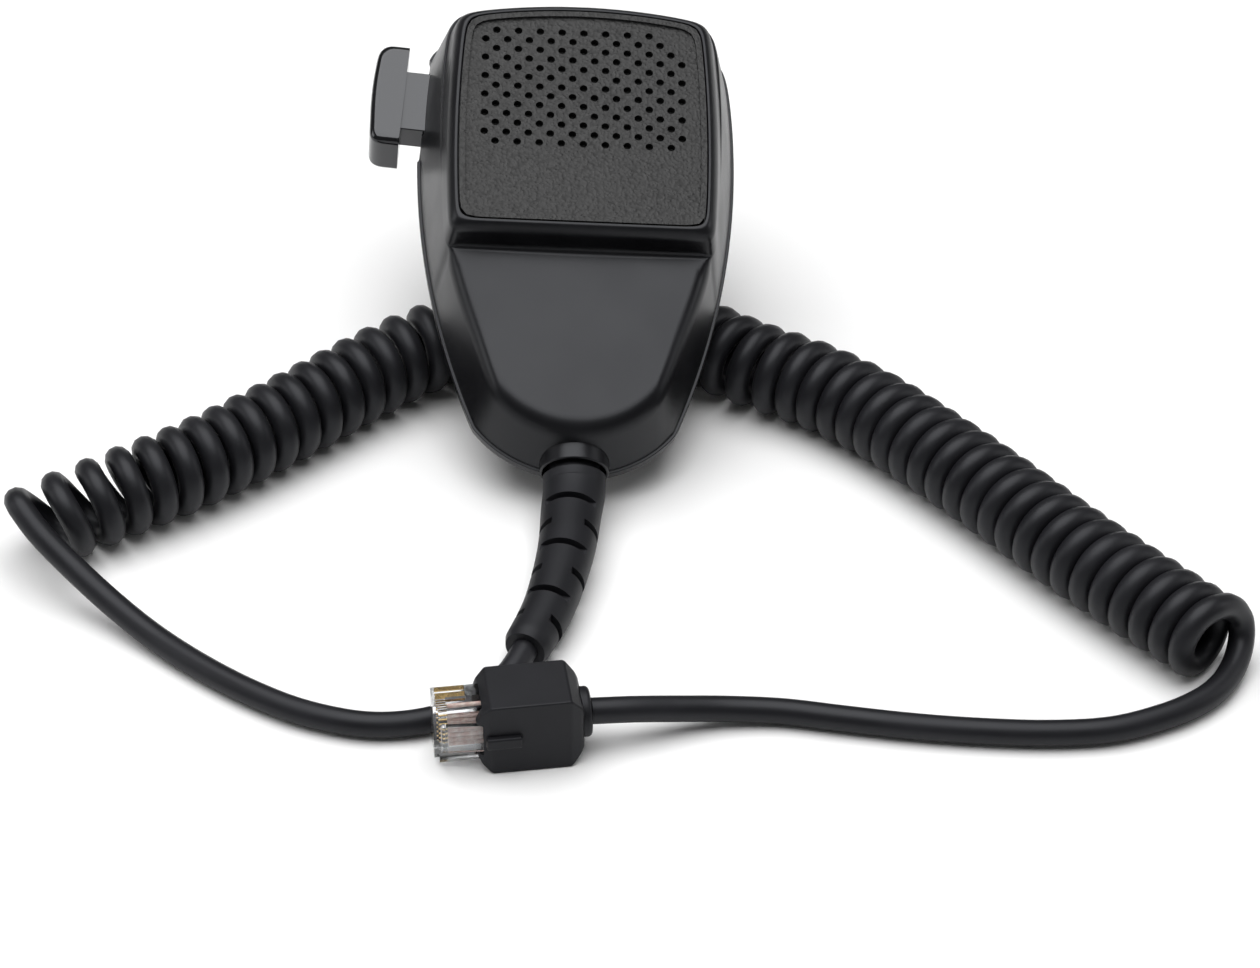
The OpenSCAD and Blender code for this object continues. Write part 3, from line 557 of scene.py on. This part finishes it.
def rod(start, end, radius, sides=64):
    """A round rod between two points, in millimetres."""
    bpy.ops.object.select_all(action="DESELECT")
    start, end = Vector(start) * MM, Vector(end) * MM
    bpy.ops.mesh.primitive_cylinder_add(
        vertices=sides,
        radius=radius * MM,
        depth=(end - start).length,
        location=(start + end) / 2,
        rotation=(end - start).to_track_quat("Z", "Y").to_euler(),
    )
    bpy.ops.object.transform_apply()
    return bpy.context.object


def round_ends(piece, width):
    """Rounds the rims of a turned piece, and leaves the facets of its side alone."""
    settings = {"segments": 4, "limit_method": "ANGLE", "angle_limit": math.radians(60)}
    apply_modifier(piece, "BEVEL", width=width * MM, **settings)


def combine(piece, others, operation):
    """Adds, cuts away or keeps the room shared with other pieces, which are used up."""
    for other in others:
        apply_modifier(piece, "BOOLEAN", object=other, operation=operation, solver="EXACT")
        bpy.data.objects.remove(other, do_unlink=True)
    return piece


print("tools for solid pieces ready")

# %% [markdown]
# ## Skins over rings, and rounded corners
# A shape whose section changes along the way, such as the housing, is easiest as rings of points with a skin
# from each ring to the next. Its corners are rounded in the section itself, with a short curve for each one,
# because a bevel on such a skin would meet itself where the corners come close together.


# %% Skins and rounded corners
def skin(name, rings, closed):
    """A skin over rings of points, drawn from each ring to the next. It closes on itself or at two caps."""
    shape = bmesh.new()
    rows = [[shape.verts.new(p * MM) for p in ring] for ring in rings]
    pairs = list(zip(rows, rows[1:])) + ([(rows[-1], rows[0])] if closed else [])
    for low, high in pairs:
        for i in range(len(low)):
            k = (i + 1) % len(low)
            shape.faces.new((low[i], low[k], high[k], high[i]))
    if not closed:
        shape.faces.new(rows[0])
        shape.faces.new(rows[-1])
    bmesh.ops.recalc_face_normals(shape, faces=shape.faces)
    mesh = bpy.data.meshes.new(name)
    shape.to_mesh(mesh)
    shape.free()
    piece = bpy.data.objects.new(name, mesh)
    bpy.context.scene.collection.objects.link(piece)
    return piece


ROUND_STEPS = 6


def rounded(corners):
    """A polyline with its corners rounded. Each corner is (point, how far back the rounding starts)."""
    line = []
    for i, (point, cut) in enumerate(corners):
        before, after = corners[i - 1][0], corners[(i + 1) % len(corners)][0]
        to_before, to_after = before - point, after - point
        a = point + to_before.normalized() * min(cut, 0.48 * to_before.length)
        b = point + to_after.normalized() * min(cut, 0.48 * to_after.length)
        for t in [k / ROUND_STEPS for k in range(ROUND_STEPS + 1)]:
            line.append(a * (1 - t) ** 2 + point * (2 * t * (1 - t)) + b * t**2)
    return line


print("modelling tools ready")

# %% [markdown]
# ## The outline of the housing
# The housing is a barrel in plan: two long shallow arcs for the sides, one for the top, a tighter one for
# the foot. A mould maker blends such arcs with soft corners. Here the reach of each arc is found along a
# ray from the middle, and the reaches are blended with a soft minimum, which rounds the corners.

# %% Outlines as reaches along a ray
MIDDLE = Vector((0, 65.8))
BOX_FOOT = 25.8
BOX_EDGE_Z, BOX_TOP_Z = 27.4, 29
# The higher the power of a soft minimum, the tighter the corners of its outline.
SHELL_CORNERS, BOX_CORNERS = 16, 22
RAYS = 360
TURNS = [2 * math.pi * (i + 0.5) / RAYS for i in range(RAYS)]
WAYS = [Vector((math.cos(turn), math.sin(turn))) for turn in TURNS]


def to_rim(way, centre, radius):
    """How far along a ray from the middle it meets a circle that holds the middle."""
    offset = Vector(centre) - MIDDLE
    along = offset.dot(way)
    return along + math.sqrt(max(0.0, radius**2 - offset.length_squared + along**2))


def soft_min(reaches, power):
    """The shortest of several reaches, blended where two of them are alike."""
    return sum(reach**-power for reach in reaches) ** (-1 / power)


def shell_reach(way, inset):
    """The housing's outline at its rim, drawn in by an inset."""
    # The centre and radius of each side's arc, and of the top's.
    arcs = [((134, 70), 165), ((-134, 70), 165), ((0, -11.5), 110)]
    upper = soft_min([to_rim(way, centre, radius - inset) for centre, radius in arcs], SHELL_CORNERS)
    foot = to_rim(way, (0, 23.3), 24 - inset)
    if way.y < 0 and MIDDLE.y + foot * way.y < 12 + inset / 2:
        return min(upper, foot)
    return upper


def box_reach(way, inset):
    """The raised box's outline at its front edge, drawn in by an inset."""
    # Its arcs are flatter than the rim's, and its foot is a straight line.
    arcs = [((274.2, 60), 300), ((-274.2, 60), 300), ((0, -18.4), 110)]
    reaches = [to_rim(way, centre, radius - inset) for centre, radius in arcs]
    foot = (inset - BOX_FOOT) / way.y if way.y < -0.05 else 20 * BOX_FOOT
    return soft_min([*reaches, foot], BOX_CORNERS)


def pad_z(way, reach):
    """The height of the thumb pad, which climbs gently towards the box."""
    return 17 + 5 * min(MIDDLE.y + reach * way.y, 46) / 40


def ease(share):
    """A share from 0 to 1 that starts and ends gently."""
    share = min(max(share, 0.0), 1.0)
    return share * share * (3 - 2 * share)


print("outline at the widest:", round(2 * shell_reach(Vector((1, 0)), 0), 1), "mm")

# %% [markdown]
# ## Front shell
# The front shell carries the raised box with its recess for the grille, and below it the sloping thumb pad.
# It is drawn as a ring of section profiles, one to a ray. Each profile climbs the outer wall, rounds the
# pad's edge, crosses the pad, turns up the step, rounds the box's edge, drops into the grille's recess and
# returns down the inner wall. Rays that miss the pad fold those points onto the plain wall.


# %% Profiles of the front shell
# How far in from the rim the thumb pad's edge starts, and the heights of the grille's seat and back.
PAD_INSET = 3.3
SEAT_Z, GRILLE_BACK_Z = 26.9, 24.5


def front_profile(way):
    """The front shell's section along one ray, as points of (distance from the middle, height)."""
    rim, top = shell_reach(way, 0.5), box_reach(way, 0)
    step = BOX_FOOT / -way.y if way.y < -0.05 else 1e3

    def wall_at(z):
        return rim + (top - rim) * (z - SEAM_Z) / (BOX_EDGE_Z - SEAM_Z)

    # Towards the foot, the pad's edge moves in by a further 1.1.
    edge_y = MIDDLE.y + shell_reach(way, PAD_INSET) * way.y
    brow = shell_reach(way, PAD_INSET + 1.1 * ease((40 - edge_y) / 22))
    pad_top = pad_z(way, brow)
    inner = min(step, wall_at(pad_z(way, min(step, brow))))
    # The share is 0 where a ray misses the pad, and 1 where the pad is at least 2.5 wide.
    share = ease((brow - inner) / 2.5)
    at_top = wall_at(pad_top), pad_top
    root_z = pad_z(way, inner)

    def between(plain, shaped):
        return Vector(plain).lerp(Vector(shaped), share)

    root = between((wall_at(root_z), root_z), (inner, root_z))
    hollow = between((wall_at(root_z) - 2.2, root_z - 2.2), (inner - 2.2, root_z - 2.2))
    under = between((wall_at(pad_top) - 2.4, root_z - 3), (max(brow - 3, inner), pad_top - 2.6))
    return rounded(
        [
            (Vector((rim, SEAM_Z)), 0.25),
            (between(at_top, (brow, pad_top)), 0.4 + 2.7 * share),
            (root, 0.3 + 1.1 * share),
            (Vector((top, BOX_EDGE_Z)), 1.0),
            (Vector((box_reach(way, 1.2), BOX_TOP_Z)), 1.0),
            (Vector((box_reach(way, 2), BOX_TOP_Z)), 0.3),
            (Vector((box_reach(way, 2), SEAT_Z)), 0.1),
            (Vector((box_reach(way, 5.5), SEAT_Z)), 0.2),
            (Vector((box_reach(way, 5.5), GRILLE_BACK_Z)), 0.2),
            (Vector((min(hollow.x, box_reach(way, 2.4)), GRILLE_BACK_Z)), 0.5),
            (hollow, 0.5),
            (under, 0.5),
            (Vector((shell_reach(way, 2.7), SEAM_Z)), 0.2),
        ]
    )


print("points in a profile:", len(front_profile(WAYS[0])))

# %% [markdown]
# ## From profiles to a shell
# The same place of every profile makes one ring round the housing, and the rings are skinned in order. Both
# shells are then cut for the button and for the mouth of the cord, so those cutters are made by functions.


# %% Front shell
def rings_of(profile):
    """Turns a profile for each ray into rings that run round the housing."""
    profiles = [profile(way) for way in WAYS]

    def placed(way, corner):
        return Vector((MIDDLE.x + way.x * corner.x, MIDDLE.y + way.y * corner.x, corner.y))

    return [
        [placed(way, profile_here[k]) for way, profile_here in zip(WAYS, profiles)]
        for k in range(len(profiles[0]))
    ]


def button_room():
    """Cutters for the button, in the housing's frame: a scoop for its paddle and a slot for its stem."""
    to_housing = MIC_FRAME.inverted() @ BUTTON_FRAME
    cutters = [
        block((-14, -12.2, -6.3), (1, 12.2, 6.3), 0.9),
        block((-2, -6.9, -3.35), (7.5, 6.9, 3.35), 0.4),
    ]
    for cutter in cutters:
        settle(cutter, to_housing)
    return cutters


def mouth_room():
    """A cutter for the round mouth that the cord comes out of."""
    return rod((0, -6, CORD_EXIT_Z), (0, 4.25, CORD_EXIT_Z), 6.6, 96)


front_shell = skin("front_shell", rings_of(front_profile), closed=True)
combine(front_shell, [*button_room(), mouth_room()], "DIFFERENCE")
smooth(front_shell, 40)
settle(front_shell, MIC_FRAME)
finish_piece(front_shell, "front_shell", "housing_black", "microphone", "front_housing")

# %% [markdown]
# ## Rear shell
# The rear shell is a shallow tray with a rounded lower edge. It meets the front shell at a half-millimetre
# step that shows as a line all round. Four screws come up through recesses in it, and the steel stud that
# hangs the microphone up is riveted through its floor.


# %% Rear shell
def rear_profile(way):
    """The rear shell's section along one ray. It starts and ends on small flat caps near the middle."""

    def at(inset, z):
        return Vector((shell_reach(way, inset), z))

    corners = [
        (at(9, 0), 0.8),
        (at(4.2, 1.6), 1.8),
        (at(0, 4.8), 1.0),
        (at(0, SEAM_Z), 0.22),
        (at(2.2, SEAM_Z), 0.2),
        (at(2.2, 5.2), 1.0),
        (at(6, 2), 1.0),
    ]
    near_middle = corners[0][0].x * 0.03
    return [Vector((near_middle, 0)), *rounded(corners), Vector((near_middle, 2))]


SCREWS = [(side * x, y) for x, y in ((19, 89.7), (12, 19)) for side in (-1, 1)]
POST_R, SCREW_HEAD_R, SCREW_PASS_R = 3.4, 2.5, 1.7
rear_shell = skin("rear_shell", rings_of(rear_profile), closed=False)
combine(rear_shell, [rod((x, y, 0.5), (x, y, 6.8), POST_R) for x, y in SCREWS], "UNION")
holes = [rod((x, y, -1), (x, y, 2.4), SCREW_HEAD_R) for x, y in SCREWS]
holes += [rod((x, y, 2), (x, y, 8), SCREW_PASS_R) for x, y in SCREWS]
combine(rear_shell, [*holes, *button_room(), mouth_room()], "DIFFERENCE")
smooth(rear_shell, 40)
settle(rear_shell, MIC_FRAME)
finish_piece(rear_shell, "rear_shell", "housing_black", "microphone", "rear_housing")

# %% [markdown]
# ## Mouth of the cord
# A round collar at the foot, half in each shell, grips the strain relief. It is turned here as one ring,
# with a rounded lip, because the two halves close on each other.

# %% Collar
collar = rod((0, -0.6, CORD_EXIT_Z), (0, 4.2, CORD_EXIT_Z), 6.55, 96)
round_ends(collar, 0.35)
combine(collar, [rod((0, -8, CORD_EXIT_Z), (0, 8, CORD_EXIT_Z), 6.1, 96)], "DIFFERENCE")
smooth(collar)
settle(collar, MIC_FRAME)
finish_piece(collar, "cord_mouth", "housing_black", "microphone")

# %% [markdown]
# ## Push-to-talk button
# The button is one moulding: a bowed paddle outside, a stem through the slot, and a flange inside that
# stops it coming out. The paddle is drawn in plan, bowed outside and rounded at its ends, and skinned
# through heights whose plans shrink, so that its edges roll over. The rolled edge is what catches the light.

# %% Button
PADDLE_ROUND = 1.45
PADDLE_HALF, PADDLE_OUT, PADDLE_BACK = 11.3, -9.8, -3.2
STEM_END, STEM_HALF, STEM_THICK = 14.2, 6.65, 3.1
SPRING_Y = 4.4


def paddle_ring(inset, z):
    """The paddle's plan at one height, drawn in by an inset: a bowed outside with rounded ends."""
    low, high, out = -PADDLE_HALF + inset, PADDLE_HALF - inset, PADDLE_OUT + inset
    corners = [
        ((PADDLE_BACK, high), 0.2),
        ((out + 0.7, high), 3.4),
        ((out, 1), 7),
        ((out + 0.9, low), 2.6),
        ((PADDLE_BACK, low), 0.2),
    ]
    return [Vector((*p, z)) for p in rounded([(Vector(c), cut) for c, cut in corners])]


def rolled(half, ring):
    """Rings from bottom to top of a slab whose upper and lower edges are rolled over."""
    turns = [math.radians(15 * k) for k in range(7)]
    levels = [(PADDLE_ROUND * (1 - math.sin(a)), half - PADDLE_ROUND * (1 - math.cos(a))) for a in turns]
    upper = [ring(inset, height) for inset, height in levels]
    lower = [ring(inset, -height) for inset, height in levels]
    return [*lower, *reversed(upper)]


paddle = skin("paddle", rolled(5.4, paddle_ring), closed=False)
stem = block((-4.5, -STEM_HALF, -STEM_THICK), (STEM_END, STEM_HALF, STEM_THICK), 0.3)
stop = block((11.6, -STEM_HALF - 1.2, -STEM_THICK), (STEM_END, STEM_HALF + 1.2, STEM_THICK), 0.2)
combine(paddle, [stem, stop], "UNION")
combine(paddle, [rod((STEM_END - 1, SPRING_Y, 0), (15, SPRING_Y, 0), 2.55)], "DIFFERENCE")
smooth(paddle, 30)
settle(paddle, BUTTON_FRAME)
finish_piece(paddle, "talk_button", "button_black", "push_button", "ptt_button")

# %% [markdown]
# ## Return spring
# A coil spring of thin wire pushes the button out. It is drawn as a helix and turned into a mesh.

# %% Spring
SPRING_TURNS, SPRING_R, SPRING_START, SPRING_RUN, SPRING_SEAT = 6, 2.05, 13.7, 7.8, 22
SPRING_STEPS = 24 * SPRING_TURNS


def spring_point(i):
    """One point of the spring's helix, which has 24 points to a turn."""
    angle = math.radians(15 * i)
    along = SPRING_START + SPRING_RUN * i / SPRING_STEPS
    across, up = SPRING_Y + SPRING_R * math.cos(angle), SPRING_R * math.sin(angle)
    return in_frame(BUTTON_FRAME, along, across, up)


spring = round_curve("spring", [spring_point(i) for i in range(SPRING_STEPS + 1)], 0.25, 2)
only(spring)
bpy.ops.object.convert(target="MESH")
spring = bpy.context.object
smooth(spring)
finish_piece(spring, "return_spring", "screw_steel", "microphone", "ptt_spring")
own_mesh(spring)

# %% [markdown]
# ## Strain relief
# The strain relief is a tapered rubber sleeve moulded onto the cord. Slots across it, by turns above and at
# the sides, let it bend without a kink. It is skinned along the cord's own line, outside and back through
# the bore, and the slots are then cut with thin blocks turned to that line.

# %% Strain relief
RELIEF_SIDES = 64
SLOT_WIDTH = 1.5
SLOT_FIRST, SLOT_PITCH, SLOT_COUNT = 9.2, 6.3, 6
# A slot's floor lies this share of the radius out from the middle.
SLOT_FLOOR = 0.55
RELIEF_BORE_R = 2.45
reach_along = distances_along(relief_path)
RELIEF_LENGTH = reach_along[-1]
last = len(relief_path) - 1


def axes_at(way):
    """Sideways and upward axes square to a direction."""
    side = way.cross(Vector((0, 0, 1))).normalized()
    return side, side.cross(way).normalized()


def relief_ring(i, radius):
    """A ring of points round the sleeve's line, square to it."""
    way = (relief_path[min(i + 1, last)] - relief_path[max(i - 1, 0)]).normalized()
    side, up = axes_at(way)
    turns = [2 * math.pi * k / RELIEF_SIDES for k in range(RELIEF_SIDES)]
    return [relief_path[i] + radius * (math.cos(a) * side + math.sin(a) * up) for a in turns]


def relief_radius(i):
    """The sleeve tapers evenly from the housing to its end."""
    return 6.0 - 1.7 * reach_along[i] / RELIEF_LENGTH


rings = [relief_ring(i, relief_radius(i)) for i in range(last)]
rings += [relief_ring(last, relief_radius(last) - 0.5), relief_ring(last, RELIEF_BORE_R)]
rings += [relief_ring(i, RELIEF_BORE_R) for i in range(last - 1, -1, -1)]
relief = skin("relief", rings, closed=True)
print("relief length in mm:", round(RELIEF_LENGTH, 1))

# %% [markdown]
# ## Slots and neck of the strain relief
# Each slot is a pair of cuts on opposite sides, and the next pair is turned a quarter round. A neck with a
# flange goes into the housing and stops the sleeve being pulled out.


# %% Slots, and the neck inside the housing
def slot_pair(number):
    """Two cutters on opposite sides of the sleeve, by turns above and at the sides."""
    along = SLOT_FIRST + SLOT_PITCH * number
    i = max(n for n in range(last) if reach_along[n] <= along)
    way = (relief_path[i + 1] - relief_path[i]).normalized()
    side, up = axes_at(way)
    spot = relief_path[i] + way * (along - reach_along[i])
    cutters = []
    for out in [up, -up] if number % 2 == 0 else [side, -side]:
        floor_at = SLOT_FLOOR * relief_radius(i)
        cutter = block((-SLOT_WIDTH / 2, -9, floor_at), (SLOT_WIDTH / 2, 9, 9))
        turn = Matrix((way, out.cross(way), out)).transposed().to_4x4()
        settle(cutter, Matrix.Translation(spot * MM) @ turn)
        cutters.append(cutter)
    return cutters


combine(relief, [cutter for number in range(SLOT_COUNT) for cutter in slot_pair(number)], "DIFFERENCE")
neck = rod((0, -1.6, CORD_EXIT_Z), (0, 4.45, CORD_EXIT_Z), 4.8)
inner = combine(neck, [rod((0, 4.4, CORD_EXIT_Z), (0, 7.4, CORD_EXIT_Z), 5.5)], "UNION")
settle(inner, MIC_FRAME)
only(relief)
inner.select_set(True)
bpy.ops.object.join()
smooth(relief, 40)
finish_piece(relief, "strain_relief_sleeve", "rubber_black", "microphone", "strain_relief")

# %% [markdown]
# ## Boot of the plug
# The boot is a thick rubber barrel pushed over the plug and its cord. It has cut-back ends and a short
# raised bar where a thumb presses the latch. A cage of flat faces is drawn first, and a bevel rounds its
# edges, as the mould's cutter would. The plug's mouth, the cord's way in and the latch's room are cut last.

# %% Boot
# Place along the boot, and half the height and half the width there.
BOOT_STATIONS = [
    (-9.5, 4.7, 3.6), (-8.7, 5.3, 5.6), (-7, 5.9, 7.5),
    (7.2, 5.9, 7.5), (9, 5.1, 5.2), (9.5, 4.6, 4),
]


def boot_ring(x, y, z):
    """The four corners of the boot's section at one place."""
    return [Vector((x, y, z)), Vector((x, -y, z)), Vector((x, -y, -z)), Vector((x, y, -z))]


boot = skin("boot", [boot_ring(*station) for station in BOOT_STATIONS], closed=False)
apply_modifier(
    boot, "BEVEL", width=0.75 * MM, segments=4, limit_method="ANGLE", angle_limit=math.radians(12)
)
thumb_bar = block((-8, -7, -1.2), (-1.6, -5.5, 1.2), 0.45)
combine(boot, [thumb_bar], "UNION")
plug_room = block((-19, -3.4, -5.95), (2.1, 3.4, 5.95))
latch_room = block((-19, -5.4, -3.3), (-4, 0, 3.3))
ring_room = rod((7.9, 0, 0), (20, 0, 0), 4.75)
cord_room = rod((0, 0, 0), (12, 0, 0), 2.4)
combine(boot, [plug_room, latch_room, ring_room, cord_room], "DIFFERENCE")
smooth(boot, 35)
settle(boot, PLUG_FRAME)
finish_piece(boot, "rubber_boot", "rubber_black", "microphone", "plug_boot")

# %% [markdown]
# ## Collar of the boot
# A soft ring closes the boot round the cord. Turned pieces like this one start as a rod, whose rims are
# bevelled before the bore is cut, so that the bore keeps its sharp edge.

# %% Collar of the boot
ring = rod((7.9, 0, 0), (11.1, 0, 0), 4.5, 96)
round_ends(ring, 0.8)
combine(ring, [rod((7, 0, 0), (12, 0, 0), 2.42)], "DIFFERENCE")
smooth(ring)
settle(ring, PLUG_FRAME)
finish_piece(ring, "boot_ring", "rubber_black", "microphone", "boot_collar")

# %% [markdown]
# ## The cord on the model
# The cord takes its finish last. It goes from the strain relief to the boot in one piece, so it stands for
# the five lengths of cord in the CAD model, and the pieces moulded on it go with it.

# %% Cord
finish_piece(
    cord, "curly_cord", "cord_rubber", "microphone",
    "lead_to_mic", "coil_left", "coil_middle", "coil_right", "lead_to_plug",
)

# %% [markdown]
# ## Table and light
# The object lies on a plain pale sweep under a large soft light. A wide lamp from above and behind lays
# the broad highlight on the pad, a weaker one fills from the left, and the pale surround does the rest.

# %% Floor
bpy.ops.object.select_all(action="DESELECT")
bpy.ops.mesh.primitive_plane_add(size=6, location=(0, 0, -0.05 * MM))
floor = bpy.context.object
floor.name = "floor"
floor_shader = Shader("pale sweep")
mottle = floor_shader.colour_mix(floor_shader.noise(60, 2.0), grey(0.84), grey(0.88))
floor_shader.set(Base_Color=mottle, Roughness=0.6)
floor.data.materials.append(floor_shader.material)
floor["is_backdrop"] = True
print("floor width in m:", round(floor.dimensions.x, 1))


# %% Lamps and surround
def lamp(name, size, power, position, aim=(0, 0, 0)):
    """A square soft light of that size in metres."""
    data = bpy.data.lights.new(name, "AREA")
    data.size, data.energy = size, power
    light = bpy.data.objects.new(name, data)
    bpy.context.scene.collection.objects.link(light)
    light.location = position
    light.rotation_euler = (Vector(aim) - Vector(position)).to_track_quat("-Z", "Y").to_euler()
    return light


lamp("overhead", 1.2, 17, (-0.08, 0.0, 1.0))
lamp("left fill", 0.6, 2.5, (-1.2, -0.1, 0.5))
lamp("right fill", 0.6, 2, (1.2, 0.1, 0.5))
world = bpy.data.worlds.new("surround")
bpy.context.scene.world = world
world.use_nodes = True
surround = world.node_tree.nodes["Background"]
surround.inputs["Color"].default_value = (1, 1, 1, 1)
surround.inputs["Strength"].default_value = 0.14
bpy.context.scene.view_settings.view_transform = "Standard"

# %% Finish
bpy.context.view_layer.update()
low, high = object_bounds()
print("model size in mm:", [round(float(b - a) / MM, 1) for a, b in zip(low, high)])
